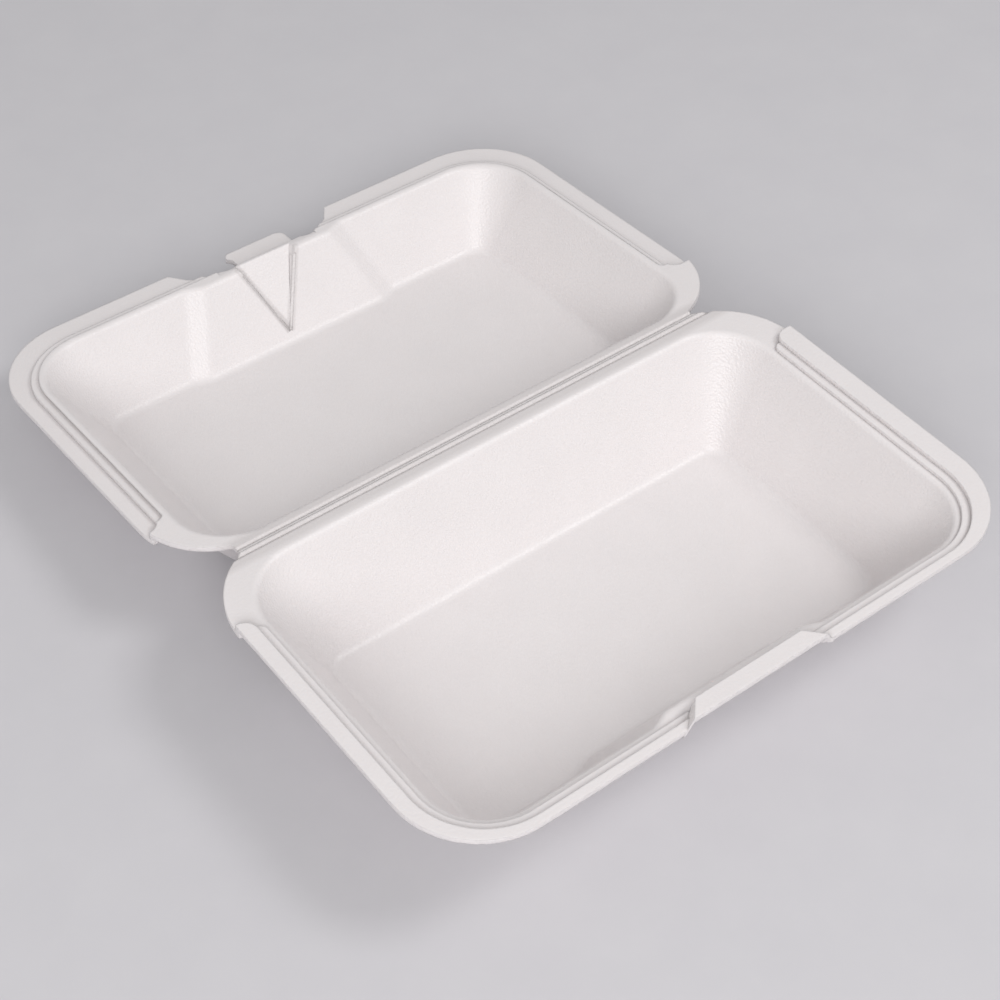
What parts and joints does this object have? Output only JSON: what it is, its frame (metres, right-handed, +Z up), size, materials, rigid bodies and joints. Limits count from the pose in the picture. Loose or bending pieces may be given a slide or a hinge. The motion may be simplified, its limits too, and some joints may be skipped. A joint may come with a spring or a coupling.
{
  "type": "foam clamshell container",
  "caption": "Hinged white foam food container, open: deep rectangular tray with stepped rim and latch bridge, shallower lid with cut latch tab.",
  "frame": {"origin": "on the table, under the middle of the tray's mouth", "axes": "+X along the hinge, +Y from the tray's front towards the hinge and the open lid, +Z up"},
  "size_m": [0.236, 0.2933, 0.0463],
  "materials": {
    "tray_foam": "satin",
    "lid_foam": "satin"
  },
  "bodies": {
    "tray": {"base_tray": "tray_foam"},
    "cover": {"lid": "lid_foam"}
  },
  "joints": [
    {"name": "lid_hinge", "type": "hinge", "parent": "tray", "child": "cover", "pos_m": [0, 0.0712, 0.04015], "axis": [1, 0, 0], "range_deg": [0, 184.6]}
  ]
}
